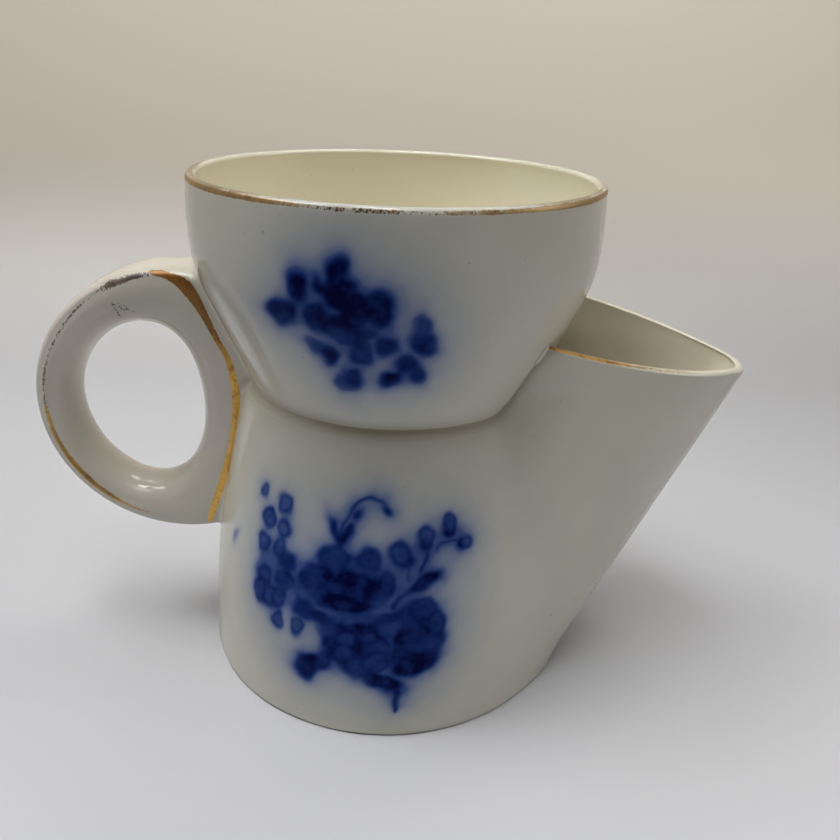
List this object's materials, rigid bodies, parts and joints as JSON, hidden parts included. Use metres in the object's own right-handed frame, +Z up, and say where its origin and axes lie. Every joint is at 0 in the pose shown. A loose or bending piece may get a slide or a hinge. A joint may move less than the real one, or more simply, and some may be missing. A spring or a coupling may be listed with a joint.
{
  "type": "shaving scuttle",
  "caption": "Glazed earthenware shaving scuttle: a soap cup over a hot water reservoir, with a wide teardrop brush spout on one side and a ring handle on the other.",
  "frame": {"origin": "on the table, under the middle of the overall bounding box", "axes": "+X along the length towards the spout's tip, -X towards the handle, +Y across towards the back, +Z up"},
  "size_m": [0.153, 0.0828, 0.1065],
  "materials": {
    "white_glaze": "glossy off-white lead glaze with blue flower sprays and worn gilding",
    "cream_glaze": "glossy glaze, cream inside and off-white outside, worn gilding on the rim",
    "slip_seam": "hardened slip under the same glossy glaze"
  },
  "bodies": {
    "root": {"reservoir": "white_glaze", "soap_cup": "cream_glaze", "spout": "white_glaze", "handle": "white_glaze", "waist_slip_front": "slip_seam", "waist_slip_back": "slip_seam", "lip_slip_front": "slip_seam", "lip_slip_back": "slip_seam", "handle_slip_front": "slip_seam", "handle_slip_back": "slip_seam"}
  },
  "joints": []
}
